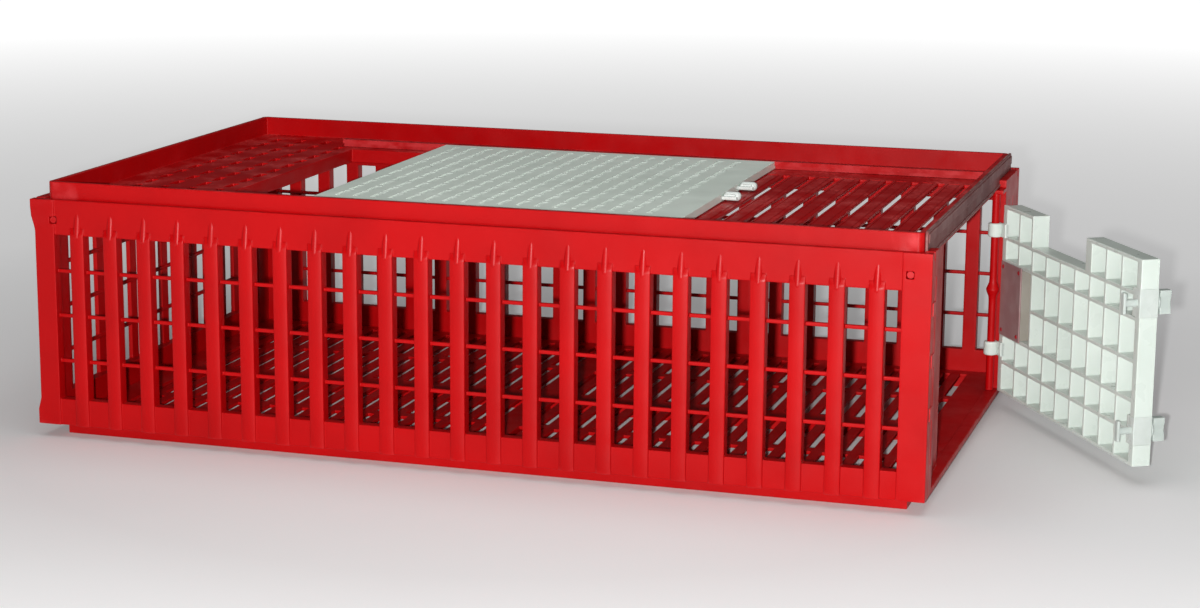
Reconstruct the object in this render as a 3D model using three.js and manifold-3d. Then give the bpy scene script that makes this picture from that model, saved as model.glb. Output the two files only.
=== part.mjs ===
// Poultry transport crate: base, four walls and roof that lock together, a sliding top door and a hinged
// end door. Millimetres, +Z up. Origin: middle of the crate's underside. +X runs to the end with the door,
// -Y faces the front long wall.
import * as THREE from 'three';
import { mergeVertices } from 'three/addons/utils/BufferGeometryUtils.js';
import Module from 'manifold-3d';

const wasm = await Module();
wasm.setup();

// Driving dimensions of the crate
const LENGTH = 970;
const WIDTH = 580;
const HEIGHT = 280;
const WALL_BOTTOM = 14;
const WALL_TOP = 262;
const WALL_DEPTH = 14;
const RIM_INSET = 11;
const RIM_THICKNESS = 6;
const GAP = 0.3;
const CUT = 1;

// Base
const BASE_INSET = 21;
const FOOT_WALL = 6;
const KEEL_HALF = 6;
const FLOOR_BOTTOM = 13;
const FLOOR_TOP = 17;
const FLOOR_SLOTS = 22;
const FLOOR_SLOT_PITCH = 19.7;
const FLOOR_SLOT_WIDTH = 8;
const FLOOR_SLOT_ROWS = [[14, 130], [144, 258]];

// Grille of the walls
const BAR_PITCH = 39.4;
const BAR_WIDTH = 16;
const BAR_SHIFT = 2;
const BAND_RECESS = 2;
const LONG_BARS = 23;
const END_BARS = 13;
const WINDOW_BOTTOM = 43;
const WINDOW_TOP = 224;
const ROD_LEVELS = [85, 135, 184];
const ROD_SIZE = 4;
const LONG_WINDOWS = [-462, 456];
const END_WINDOWS = [-245, 245];
const LONG_SECTION = { barDepth: 14, rodRecess: 6 };
const END_SECTION = { barDepth: 5, rodRecess: 2 };
const WALL_LIP = RIM_INSET - 1;

// Clips at the corners and lock pins under the rim
const CLIP_LEVELS = { low: 101, mid: 154, high: 206 };
const CLIP_DEPTH = 7;
const CLIP_PROUD = 1;
const CLIP_REACH = 6;
const CLIP_HEIGHT = 13;
const LOCK_X = 463.5;
const LOCK_Z = 240;
const LOCK_RADIUS = 3.5;
const LOCK_DEPTH = 8;
const LOCK_RECESS = 2;

// Roof
const ROOF_TOP = 258;
const ROOF_PLATE = 4;
const ROOF_LEDGE = ROOF_TOP - ROOF_PLATE - GAP;
const OPENING_LEFT = -316;
const OPENING_RIGHT = 80;
const OPENING_HALF = 188;
const BEAM_BOTTOM = 242;
const BEAM_THICKNESS = 5;
const SLOT_PITCH = 29.9;
const SLOT_WIDTH = 8;
const SLOT_HALF = 165;
const FIRST_RIGHT_SLOT = 115.9;
const RIGHT_SLOTS = 12;
const RIM_SLOT_Y = 256;
const RIM_SLOT_LENGTH = 14;
const FIRST_LEFT_SLOT = -436;
const LEFT_SLOTS = 4;
const LEFT_SLOT_PITCH = 33.4;
const LEFT_ROWS = 13;
const LEFT_ROW_PITCH = 38;
const LEFT_ROW_LENGTH = 26;

// Sliding top door, its rails and its catches
const DOOR_LEFT = -198;
const DOOR_RIGHT = 212;
const DOOR_HALF = 202.5;
const DOOR_BOTTOM = ROOF_TOP + 1;
const DOOR_TOP = 267.5;
const DOOR_TONGUE = 3;
const DOOR_TONGUE_REACH = 4;
const GROOVE_COLUMNS = 18;
const GROOVE_PITCH = 20.5;
const GROOVE_WIDTH = 7;
const GROOVE_ROWS = 10;
const GROOVE_ROW_PITCH = 38;
const GROOVE_LENGTH = 30;
const GROOVE_DEPTH = 2.5;
const FIRST_GROOVE = DOOR_LEFT + 21.5;
const RAIL_LEFT = -334;
const RAIL_RIGHT = 456;
const RAIL_WEB = 3;
const RAIL_DISTANCE = 5;
const RAIL_CLEARANCE = 0.8;
const CATCH_Y = 36;
const CATCH_HALF = 9;
const CATCH_TRAVEL = 5;
const CATCH_DEPTH = 10;
const CATCH_BOTTOM = 261;
const CATCH_TOP = 265.5;
const CATCH_REACH = 17;
const CATCH_HEAD_REACH = 20;
const CATCH_HEAD_RADIUS = 5;
const CATCH_HEAD_Z = 264.5;

// Hinged end door, in its own frame: origin on the hinge axis, -Y towards the free edge, +X outwards
const HINGE_X = 476;
const HINGE_Y = 176;
const OPEN_ANGLE = THREE.MathUtils.degToRad(32.2);
const HINGE_ROD_RADIUS = 4.5;
const HINGE_CLEARANCE = 0.5;
const COLLAR_RADIUS = 8;
const COLLAR_Z = 138;
const HOOK_LEVELS = [[62, 78], [199, 215]];
const HOOK_RADIUS = 8;
const LEAF_INNER = 7.5;
const LEAF_OUTER = 27.5;
const LEAF_START = 5;
const HEEL_START = 11.5;
const HEEL_END = 9.5;
const LEAF_END = 345;
const LEAF_BOTTOM = 20.5;
const LEAF_SHOULDER = 201;
const LEAF_TOP = 236;
const LEAF_RIBS = [22, 56, 88, 129, 173, 199];
const RIB_HEIGHT = 4;
const LEAF_COLUMNS = 9;
const LEAF_BAR = 4;
const LEAF_FRAME = 10;
const LEAF_PITCH = (LEAF_END - LEAF_START - 2 * LEAF_FRAME + LEAF_BAR) / LEAF_COLUMNS;
const NOTCH_START = 84;
const NOTCH_END = 217;
const NOTCH_COLUMNS = [2, 3, 4, 5];
const PLATE_COLUMNS = 2;
const PLATE_RIBS = { bottom: LEAF_RIBS[2] + RIB_HEIGHT / 2, top: LEAF_RIBS[4] - RIB_HEIGHT / 2 };
const PLATE_START = 8.5;
const PLATE_END = 62;
const PLATE_FACE = 5.2;
const PLATE_DEPTH = 10.8;
const PLATE_OVERLAP = 2;
const PLATE_STUD = 3;
const PLATE_STUD_INSET = 6;
const LATCH_DISTANCE = 338;
const LATCH_LEVELS = { upper: 190.5, lower: 57.5 };
const LATCH_SHAFT = 4;
const BOSS_WIDTH = 16;
const BOSS_HALF_HEIGHT = 15;
const WING = { reach: 16, half: 5, halfHeight: 12.5 };
const HEAD = { inner: -9, outer: -5.3, half: 3.5, halfHeight: 11 };

// Doorway in the right end frame and the landing that the latches lock into
const DOORWAY_FRONT = -168;
const DOORWAY_REAR = 188;
const DOORWAY_BOTTOM = 20;
const DOORWAY_TOP = 249;
const LINTEL_DEPTH = 9;
const LANDING_START = -255;
const HINGE_EAR_HALF = 10;

// Materials
const RED = { color: 0xc80a12, roughness: 0.35, metalness: 0 };
const PALE = { color: 0xc3ccc4, roughness: 0.45, metalness: 0 };
const WHITE = { color: 0xe2e9e4, roughness: 0.4, metalness: 0 };

function solid(geometry) {
  const bare = geometry.clone();
  bare.deleteAttribute('normal');
  bare.deleteAttribute('uv');
  const merged = mergeVertices(bare, 1e-4);
  return new wasm.Manifold(new wasm.Mesh({
    numProp: 3,
    vertProperties: new Float32Array(merged.attributes.position.array),
    triVerts: new Uint32Array(merged.index.array),
  }));
}

function box(x, y, z) {
  const geometry = new THREE.BoxGeometry(x[1] - x[0], y[1] - y[0], z[1] - z[0]);
  geometry.translate((x[0] + x[1]) / 2, (y[0] + y[1]) / 2, (z[0] + z[1]) / 2);
  return solid(geometry);
}

function cylinderZ(x, y, z, radius, sides = 16) {
  const geometry = new THREE.CylinderGeometry(radius, radius, z[1] - z[0], sides);
  geometry.rotateX(Math.PI / 2);
  geometry.translate(x, y, (z[0] + z[1]) / 2);
  return solid(geometry);
}

function cylinderX(x, y, z, radius, sides = 16) {
  const geometry = new THREE.CylinderGeometry(radius, radius, x[1] - x[0], sides);
  geometry.rotateZ(Math.PI / 2);
  geometry.translate((x[0] + x[1]) / 2, y, z);
  return solid(geometry);
}

function cylinderY(x, y, z, radius, sides = 16) {
  const geometry = new THREE.CylinderGeometry(radius, radius, y[1] - y[0], sides);
  geometry.translate(x, (y[0] + y[1]) / 2, z);
  return solid(geometry);
}

function join(pieces) {
  return wasm.Manifold.union(pieces);
}

function part(name, shape, material) {
  const { vertProperties, triVerts, numProp } = shape.getMesh();
  const geometry = new THREE.BufferGeometry();
  const positions = new Float32Array((vertProperties.length / numProp) * 3);
  for (let i = 0; i < vertProperties.length / numProp; i += 1) {
    positions.set(vertProperties.slice(i * numProp, i * numProp + 3), i * 3);
  }
  geometry.setAttribute('position', new THREE.BufferAttribute(positions, 3));
  geometry.setIndex(new THREE.BufferAttribute(new Uint32Array(triVerts), 1));
  geometry.computeVertexNormals();
  const mesh = new THREE.Mesh(geometry, new THREE.MeshStandardMaterial(material));
  mesh.name = name;
  return mesh;
}

function pitched(first, pitch, count) {
  return Array.from({ length: count }, (_, i) => first + pitch * i);
}

// The same range on the side given by -1 or 1
function mirrored(side, range) {
  return range.map((value) => side * value).sort((a, b) => a - b);
}

function around(centre, half) {
  return [centre - half, centre + half];
}

// A wall lying along X with its outer face at y = 0 and its inner face at y = WALL_DEPTH
function grille(halfLength, bars, windows, section) {
  const band = [BAND_RECESS, WALL_DEPTH];
  const height = [WALL_BOTTOM, WALL_TOP];
  const pieces = [
    box([-halfLength, halfLength], band, [WINDOW_TOP, WALL_TOP]),
    box([-halfLength, halfLength], band, [WALL_BOTTOM, WINDOW_BOTTOM]),
  ];
  for (const post of [[-halfLength, windows[0]], [windows[1], halfLength]]) {
    pieces.push(box(post, [0, WALL_DEPTH], height));
  }
  const first = -BAR_PITCH * (bars - 1) / 2 - BAR_WIDTH / 2 - BAR_SHIFT;
  for (const x of pitched(first, BAR_PITCH, bars)) {
    pieces.push(box([x, x + BAR_WIDTH], [0, section.barDepth], height));
  }
  const rod = [section.rodRecess, section.rodRecess + ROD_SIZE];
  for (const level of ROD_LEVELS) {
    pieces.push(box(windows, rod, around(level, ROD_SIZE / 2)));
  }
  const ledge = box(
    around(0, halfLength + CUT),
    [WALL_LIP, WALL_DEPTH + CUT],
    [ROOF_LEDGE, WALL_TOP + CUT],
  );
  return join(pieces).subtract(ledge);
}

// Block that ties an end to a long wall, or with slack the pocket that it sits in
function clipBox(end, side, level, slack, proud) {
  const wallInside = WIDTH / 2 - WALL_DEPTH;
  return box(
    mirrored(end, [LENGTH / 2 - CLIP_DEPTH - slack, LENGTH / 2 + proud]),
    mirrored(side, around(wallInside, CLIP_REACH + slack)),
    around(level, CLIP_HEIGHT / 2 + slack),
  );
}

function clipPockets() {
  const pockets = [];
  for (const end of [-1, 1]) {
    for (const side of [-1, 1]) {
      for (const level of Object.values(CLIP_LEVELS)) {
        pockets.push(clipBox(end, side, level, GAP, CLIP_PROUD + CUT));
      }
    }
  }
  return join(pockets);
}

function lockHoles() {
  const holes = [];
  for (const end of [-1, 1]) {
    for (const side of [-1, 1]) {
      const y = mirrored(side, [WIDTH / 2 - LOCK_DEPTH, WIDTH / 2 + CUT]);
      holes.push(cylinderY(end * LOCK_X, y, LOCK_Z, LOCK_RADIUS + GAP, 12));
    }
  }
  return join(holes);
}

function lockPin(end, side) {
  const y = mirrored(side, [WIDTH / 2 - LOCK_DEPTH + GAP, WIDTH / 2 - LOCK_RECESS]);
  return cylinderY(end * LOCK_X, y, LOCK_Z, LOCK_RADIUS, 12);
}

function longWall(side) {
  const wall = grille(LENGTH / 2, LONG_BARS, LONG_WINDOWS, LONG_SECTION);
  const turn = side < 0 ? 0 : 180;
  const placed = wall.translate([0, -WIDTH / 2, 0]).rotate([0, 0, turn]);
  return placed.subtract(clipPockets()).subtract(lockHoles());
}

const END_HALF = WIDTH / 2 - WALL_DEPTH - GAP;

function leftEndWall() {
  const wall = grille(END_HALF, END_BARS, END_WINDOWS, END_SECTION);
  const placed = wall.translate([0, -LENGTH / 2, 0]).rotate([0, 0, -90]);
  return placed.subtract(clipPockets());
}

// End frame around the doorway: two jambs, a sill, a thin lintel under the roof's rim, a recessed landing
// for the latches and an ear over the hinge rod
function rightEndFrame() {
  const outer = LENGTH / 2;
  const lip = outer - WALL_LIP;
  const inner = outer - WALL_DEPTH;
  const frontJamb = [-END_HALF, LANDING_START];
  const rearJamb = [DOORWAY_REAR, END_HALF];
  const between = [LANDING_START, DOORWAY_REAR];
  const lintel = [DOORWAY_TOP, ROOF_LEDGE];
  const pieces = [
    box([lip, outer], frontJamb, [WALL_BOTTOM, WALL_TOP]),
    box([inner, lip], frontJamb, [WALL_BOTTOM, ROOF_LEDGE]),
    box([lip, outer], rearJamb, [WALL_BOTTOM, WALL_TOP]),
    box([inner, lip], rearJamb, [WALL_BOTTOM, ROOF_LEDGE]),
    box([inner, outer], between, [WALL_BOTTOM, DOORWAY_BOTTOM]),
    box([lip - LINTEL_DEPTH, lip], [-END_HALF, END_HALF], lintel),
    box([inner, lip], [LANDING_START, DOORWAY_FRONT], [WALL_BOTTOM, ROOF_LEDGE]),
    box([inner, outer], [HINGE_Y - HINGE_EAR_HALF, DOORWAY_REAR], lintel),
  ];
  return join(pieces).subtract(clipPockets());
}

// Floor with slots across the crate, on a foot ring with two crossed keels
function baseTray() {
  const footX = LENGTH / 2 - BASE_INSET;
  const footY = WIDTH / 2 - BASE_INSET;
  const plateX = LENGTH / 2 - WALL_DEPTH - GAP;
  const foot = box([-footX, footX], [-footY, footY], [0, FLOOR_BOTTOM + CUT]);
  const plate = box([-plateX, plateX], [-END_HALF, END_HALF], [FLOOR_BOTTOM, FLOOR_TOP]);
  const cuts = [];
  for (const sideX of [-1, 1]) {
    for (const sideY of [-1, 1]) {
      const hollowX = mirrored(sideX, [KEEL_HALF, footX - FOOT_WALL]);
      const hollowY = mirrored(sideY, [KEEL_HALF, footY - FOOT_WALL]);
      cuts.push(box(hollowX, hollowY, [-CUT, FLOOR_BOTTOM]));
      for (const centre of pitched(FLOOR_SLOT_PITCH, FLOOR_SLOT_PITCH, FLOOR_SLOTS)) {
        for (const row of FLOOR_SLOT_ROWS) {
          const slotX = around(sideX * centre, FLOOR_SLOT_WIDTH / 2);
          cuts.push(box(slotX, mirrored(sideY, row), [FLOOR_BOTTOM - CUT, FLOOR_TOP + CUT]));
        }
      }
    }
  }
  return join([foot, plate]).subtract(join(cuts));
}

// Slotted roof plate with a raised rim, and beams under the edges of its opening
function roofFrame() {
  const x = LENGTH / 2 - RIM_INSET;
  const y = WIDTH / 2 - RIM_INSET;
  const shell = box([-x, x], [-y, y], [ROOF_TOP - ROOF_PLATE, HEIGHT]);
  const recessX = x - RIM_THICKNESS;
  const recessY = y - RIM_THICKNESS;
  const recess = box([-recessX, recessX], [-recessY, recessY], [ROOF_TOP, HEIGHT + CUT]);
  const beams = box(
    [OPENING_LEFT - BEAM_THICKNESS, OPENING_RIGHT + BEAM_THICKNESS],
    around(0, OPENING_HALF + BEAM_THICKNESS),
    [BEAM_BOTTOM, ROOF_TOP - CUT],
  );
  const through = [BEAM_BOTTOM - CUT, ROOF_TOP + CUT];
  const cuts = [box([OPENING_LEFT, OPENING_RIGHT], around(0, OPENING_HALF), through)];
  for (const centre of pitched(FIRST_RIGHT_SLOT, SLOT_PITCH, RIGHT_SLOTS)) {
    const slotX = around(centre, SLOT_WIDTH / 2);
    cuts.push(box(slotX, around(0, SLOT_HALF), through));
    for (const side of [-1, 1]) {
      const slotY = mirrored(side, [RIM_SLOT_Y, RIM_SLOT_Y + RIM_SLOT_LENGTH]);
      cuts.push(box(slotX, slotY, through));
    }
  }
  const firstRow = -LEFT_ROW_PITCH * (LEFT_ROWS - 1) / 2;
  for (const centre of pitched(FIRST_LEFT_SLOT, LEFT_SLOT_PITCH, LEFT_SLOTS)) {
    for (const row of pitched(firstRow, LEFT_ROW_PITCH, LEFT_ROWS)) {
      cuts.push(box(around(centre, SLOT_WIDTH / 2), around(row, LEFT_ROW_LENGTH / 2), through));
    }
  }
  return join([shell.subtract(recess), beams]).subtract(join(cuts));
}

// Rail with a lip over the door's tongue
function doorRail(side) {
  const outer = DOOR_HALF + RAIL_DISTANCE + RAIL_WEB;
  const web = mirrored(side, [DOOR_HALF + RAIL_DISTANCE, outer]);
  const lip = mirrored(side, [DOOR_HALF + RAIL_CLEARANCE, outer]);
  const x = [RAIL_LEFT, RAIL_RIGHT];
  return join([
    box(x, web, [ROOF_TOP + GAP, DOOR_TOP]),
    box(x, lip, [DOOR_BOTTOM + DOOR_TONGUE + RAIL_CLEARANCE, DOOR_TOP]),
  ]);
}

// Slot in the door's right edge, longer than the catch by its travel towards the middle
function catchSlot(side) {
  const near = CATCH_Y - CATCH_HALF - GAP - CATCH_TRAVEL;
  const far = CATCH_Y + CATCH_HALF + GAP;
  return box(
    [DOOR_RIGHT - CATCH_DEPTH, DOOR_RIGHT + CUT],
    mirrored(side, [near, far]),
    [CATCH_BOTTOM, CATCH_TOP],
  );
}

function topDoor() {
  const length = [DOOR_LEFT, DOOR_RIGHT];
  const tongue = around(0, DOOR_HALF + DOOR_TONGUE_REACH);
  const leaf = join([
    box(length, around(0, DOOR_HALF), [DOOR_BOTTOM, DOOR_TOP]),
    box(length, tongue, [DOOR_BOTTOM, DOOR_BOTTOM + DOOR_TONGUE]),
  ]);
  const cuts = [catchSlot(-1), catchSlot(1)];
  const firstRow = -GROOVE_ROW_PITCH * (GROOVE_ROWS - 1) / 2;
  const groove = [DOOR_TOP - GROOVE_DEPTH, DOOR_TOP + CUT];
  for (const x of pitched(FIRST_GROOVE, GROOVE_PITCH, GROOVE_COLUMNS)) {
    for (const y of pitched(firstRow, GROOVE_ROW_PITCH, GROOVE_ROWS)) {
      cuts.push(box(around(x, GROOVE_WIDTH / 2), around(y, GROOVE_LENGTH / 2), groove));
    }
  }
  return leaf.subtract(join(cuts));
}

// Catch in the door's right edge: a tongue in the slot and a rounded finger head outside
function topDoorCatch(side) {
  const y = side * CATCH_Y;
  const outside = DOOR_RIGHT + GAP;
  const z = [CATCH_BOTTOM + GAP, CATCH_TOP - GAP];
  return join([
    cylinderX([outside, DOOR_RIGHT + CATCH_HEAD_REACH], y, CATCH_HEAD_Z, CATCH_HEAD_RADIUS),
    box([outside, DOOR_RIGHT + CATCH_REACH], around(y, CATCH_HALF), z),
    box([DOOR_RIGHT - CATCH_DEPTH + GAP, outside + CUT], around(y, CATCH_HALF - GAP), z),
  ]);
}

// Stretch of the leaf beside the hinge that the plate fills
function plateSpan() {
  const start = LEAF_START + LEAF_FRAME;
  return [-(start + PLATE_COLUMNS * LEAF_PITCH - LEAF_BAR), -start];
}

function leafCells() {
  const through = [LEAF_INNER - CUT, LEAF_OUTER + CUT];
  const cells = [
    box(through, plateSpan(), [PLATE_RIBS.bottom, PLATE_RIBS.top]),
    box([HEEL_START, LEAF_OUTER + CUT], [-HEEL_END, CUT - LEAF_START], [0, HEIGHT]),
  ];
  for (let column = 0; column < LEAF_COLUMNS; column += 1) {
    const start = LEAF_START + LEAF_FRAME + LEAF_PITCH * column;
    const y = [-(start + LEAF_PITCH - LEAF_BAR), -start];
    for (let row = 0; row + 1 < LEAF_RIBS.length; row += 1) {
      const z = [LEAF_RIBS[row] + RIB_HEIGHT / 2, LEAF_RIBS[row + 1] - RIB_HEIGHT / 2];
      cells.push(box(through, y, z));
    }
    if (!NOTCH_COLUMNS.includes(column)) {
      const beforeNotch = start < NOTCH_START;
      const blockEnd = beforeNotch ? Math.max(y[0], LEAF_BAR - NOTCH_START) : y[0];
      cells.push(box(through, [blockEnd, y[1]], [LEAF_SHOULDER, LEAF_TOP - RIB_HEIGHT]));
    }
  }
  return join(cells);
}

function hinge() {
  const pieces = [];
  for (const level of HOOK_LEVELS) {
    pieces.push(cylinderZ(0, 0, level, HOOK_RADIUS, 20));
    pieces.push(box([0, LEAF_INNER + CUT], [-LEAF_START - BOSS_WIDTH / 2, 0], level));
  }
  return join(pieces);
}

// Door leaf: an open grid with two raised blocks, hinge hooks, bosses for the latches and a heel cut back on
// its outer side to clear the jamb when the door stands open
function endDoor() {
  const depth = [LEAF_INNER, LEAF_OUTER];
  const sheet = join([
    box(depth, [-LEAF_END, -LEAF_START], [LEAF_BOTTOM, LEAF_SHOULDER]),
    box(depth, [-NOTCH_START, -LEAF_START], [LEAF_SHOULDER - CUT, LEAF_TOP]),
    box(depth, [-LEAF_END, -NOTCH_END], [LEAF_SHOULDER - CUT, LEAF_TOP]),
  ]);
  const bosses = [];
  const bores = [cylinderZ(0, 0, [0, HEIGHT], HINGE_ROD_RADIUS + HINGE_CLEARANCE, 20)];
  for (const level of Object.values(LATCH_LEVELS)) {
    const y = [-LEAF_END, -LEAF_END + BOSS_WIDTH];
    bosses.push(box(depth, y, around(level, BOSS_HALF_HEIGHT)));
    bores.push(cylinderX([0, LEAF_OUTER + CUT], -LATCH_DISTANCE, level, LATCH_SHAFT + GAP));
  }
  return join([sheet.subtract(leafCells()), hinge(), ...bosses]).subtract(join(bores));
}

// Block beside the hinge: a cover on the leaf's inner face with a stud in each corner, and a body in the cell
function doorPlate() {
  const cover = [PLATE_FACE, LEAF_INNER - GAP];
  const coverY = [-PLATE_END, -PLATE_START];
  const coverZ = [PLATE_RIBS.bottom - PLATE_OVERLAP, PLATE_RIBS.top + PLATE_OVERLAP];
  const bodyZ = [PLATE_RIBS.bottom + GAP, PLATE_RIBS.top - GAP];
  const pieces = [
    box(cover, coverY, coverZ),
    box([PLATE_FACE, LEAF_INNER + PLATE_DEPTH], [-PLATE_END, plateSpan()[1] - GAP], bodyZ),
  ];
  for (const y of [-PLATE_END + PLATE_STUD_INSET, -PLATE_START - PLATE_STUD_INSET]) {
    for (const z of [coverZ[0] + PLATE_STUD_INSET, coverZ[1] - PLATE_STUD_INSET]) {
      pieces.push(cylinderX([PLATE_FACE - 1, LEAF_INNER - GAP], y, z, PLATE_STUD, 12));
    }
  }
  return join(pieces);
}

// Quarter-turn latch: wing outside, shaft through the leaf, narrow head that turns behind the landing's edge
function endDoorLatch(level) {
  const y = -LATCH_DISTANCE;
  return join([
    cylinderX([HEAD.inner + CUT, LEAF_OUTER + WING.reach / 2], y, level, LATCH_SHAFT),
    box([LEAF_OUTER + GAP, LEAF_OUTER + WING.reach], around(y, WING.half), around(level, WING.halfHeight)),
    box([HEAD.inner, HEAD.outer], around(y, HEAD.half), around(level, HEAD.halfHeight)),
  ]);
}

function hingeRod() {
  const z = [DOORWAY_BOTTOM + GAP, DOORWAY_TOP - GAP];
  const collar = new THREE.SphereGeometry(COLLAR_RADIUS, 16, 10);
  collar.translate(HINGE_X, HINGE_Y, COLLAR_Z);
  return join([cylinderZ(HINGE_X, HINGE_Y, z, HINGE_ROD_RADIUS), solid(collar)]);
}

const crate = new THREE.Group();
crate.add(part('base_tray', baseTray(), RED));
crate.add(part('front_long_wall', longWall(-1), RED));
crate.add(part('rear_long_wall', longWall(1), RED));
crate.add(part('left_end_wall', leftEndWall(), RED));
crate.add(part('right_end_frame', rightEndFrame(), RED));
crate.add(part('roof_frame', roofFrame(), RED));
crate.add(part('top_door_rail_front', doorRail(-1), RED));
crate.add(part('top_door_rail_rear', doorRail(1), RED));
crate.add(part('top_sliding_door', topDoor(), PALE));
crate.add(part('top_door_catch_front', topDoorCatch(-1), WHITE));
crate.add(part('top_door_catch_rear', topDoorCatch(1), WHITE));
crate.add(part('end_door_hinge_rod', hingeRod(), RED));

for (const [endName, end] of Object.entries({ left: -1, right: 1 })) {
  for (const [sideName, side] of Object.entries({ front: -1, rear: 1 })) {
    for (const [levelName, level] of Object.entries(CLIP_LEVELS)) {
      const name = `corner_clip_${sideName}_${endName}_${levelName}`;
      crate.add(part(name, clipBox(end, side, level, 0, CLIP_PROUD), RED));
    }
    crate.add(part(`roof_lock_pin_${sideName}_${endName}`, lockPin(end, side), RED));
  }
}

const swing = new THREE.Group();
swing.position.set(HINGE_X, HINGE_Y, 0);
swing.rotation.z = OPEN_ANGLE;
swing.add(part('end_door', endDoor(), WHITE));
swing.add(part('end_door_plate', doorPlate(), WHITE));
swing.add(part('end_door_latch_upper', endDoorLatch(LATCH_LEVELS.upper), WHITE));
swing.add(part('end_door_latch_lower', endDoorLatch(LATCH_LEVELS.lower), WHITE));
crate.add(swing);

export default crate;
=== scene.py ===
import math

import bmesh
import bpy
import numpy as np
from mathutils import Matrix, Vector


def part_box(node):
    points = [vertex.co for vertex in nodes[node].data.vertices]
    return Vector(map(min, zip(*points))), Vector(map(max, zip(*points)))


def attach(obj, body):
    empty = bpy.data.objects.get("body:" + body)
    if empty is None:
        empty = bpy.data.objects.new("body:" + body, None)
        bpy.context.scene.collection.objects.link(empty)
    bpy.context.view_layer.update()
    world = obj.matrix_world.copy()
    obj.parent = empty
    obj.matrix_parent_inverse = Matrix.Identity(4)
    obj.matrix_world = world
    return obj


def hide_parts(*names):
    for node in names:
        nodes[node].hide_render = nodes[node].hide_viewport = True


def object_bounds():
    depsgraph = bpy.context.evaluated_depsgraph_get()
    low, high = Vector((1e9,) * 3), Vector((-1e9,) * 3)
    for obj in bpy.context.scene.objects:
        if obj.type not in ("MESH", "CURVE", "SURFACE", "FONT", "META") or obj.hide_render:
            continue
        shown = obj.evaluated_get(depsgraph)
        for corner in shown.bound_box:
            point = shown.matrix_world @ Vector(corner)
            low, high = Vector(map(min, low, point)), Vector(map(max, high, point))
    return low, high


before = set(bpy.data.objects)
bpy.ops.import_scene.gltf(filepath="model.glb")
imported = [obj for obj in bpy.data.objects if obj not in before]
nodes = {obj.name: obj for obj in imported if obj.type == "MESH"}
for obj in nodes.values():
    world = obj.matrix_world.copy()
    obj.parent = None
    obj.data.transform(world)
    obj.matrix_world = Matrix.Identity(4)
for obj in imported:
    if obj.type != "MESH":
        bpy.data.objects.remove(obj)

cad_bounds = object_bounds()


# ---- Camera -------------------------------------------------------------------------------------

CAMERA_PLACE = (0.8906, -2.6897, 0.7151)
CAMERA_YAW = 0.310
CAMERA_PITCH = 0.206
CAMERA_ROLL = 0.005
CAMERA_LENS = 76.7
CAMERA_SHIFT = 0.0232


def camera_axes():
    """Right, up and forward of a camera that is turned left by the yaw, then down, then rolled."""
    sy, cy = math.sin(CAMERA_YAW), math.cos(CAMERA_YAW)
    sp, cp = math.sin(CAMERA_PITCH), math.cos(CAMERA_PITCH)
    level = Vector((cy, sy, 0))
    down = Vector((sp * sy, -sp * cy, -cp))
    forward = Vector((-cp * sy, cp * cy, -sp))
    sr, cr = math.sin(CAMERA_ROLL), math.cos(CAMERA_ROLL)
    return cr * level - sr * down, -(sr * level + cr * down), forward


def make_camera():
    data = bpy.data.cameras.new("view_camera")
    data.lens = CAMERA_LENS
    data.shift_x = CAMERA_SHIFT
    data.clip_end = 100
    camera = bpy.data.objects.new("view_camera", data)
    bpy.context.collection.objects.link(camera)
    right, up, forward = camera_axes()
    turn = Matrix((right, up, -forward)).transposed()
    camera.matrix_world = Matrix.Translation(CAMERA_PLACE) @ turn.to_4x4()
    bpy.context.scene.camera = camera


make_camera()


# ---- Materials ----------------------------------------------------------------------------------

def new_material(name):
    """An empty material, its Principled shader, and functions that add and link nodes.

    add takes an input's value or link by its name, or as i and its number, such as i0.
    """
    material = bpy.data.materials.new(name)
    material.use_nodes = True
    tree = material.node_tree
    tree.nodes.clear()
    output = tree.nodes.new("ShaderNodeOutputMaterial")
    shader = tree.nodes.new("ShaderNodeBsdfPrincipled")
    tree.links.new(shader.outputs[0], output.inputs[0])

    def add(kind, settings=None, **inputs):
        node = tree.nodes.new(kind)
        for key, value in (settings or {}).items():
            setattr(node, key, value)
        for key, value in inputs.items():
            numbered = key[0] == "i" and key[1:].isdigit()
            socket = node.inputs[int(key[1:]) if numbered else key]
            if isinstance(value, bpy.types.NodeSocket):
                tree.links.new(value, socket)
            else:
                socket.default_value = value
        return node

    return material, shader, add, tree.links.new


def noise(add, place, scale, detail=2.0, rough=0.5):
    return add("ShaderNodeTexNoise", Vector=place, Scale=scale, Detail=detail, Roughness=rough).outputs[0]


def spread(add, value, low, high, to_low=0.0, to_high=1.0):
    """value from low..high to to_low..to_high, held at the ends."""
    return add("ShaderNodeMapRange", i0=value, i1=low, i2=high, i3=to_low, i4=to_high).outputs[0]


def mixed(add, factor, first, second):
    node = add("ShaderNodeMix", {"data_type": "RGBA"}, i0=factor, i6=first, i7=second)
    return node.outputs[2]


def product(add, first, second):
    return add("ShaderNodeMath", {"operation": "MULTIPLY"}, i0=first, i1=second).outputs[0]


def rgba(colour):
    return (*colour, 1.0)


DUST = (0.62, 0.55, 0.5)
# A pale red for the roof's top: dust and a painted sheen of reflected light.
ROOF_DUST_AND_SHEEN = (0.60, 0.06, 0.058)
RED, DEEP_RED, RUBBED_AND_HIGHLIT_RED = (0.41, 0.001, 0.002), (0.34, 0.0007, 0.0016), (0.55, 0.045, 0.05)


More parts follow.
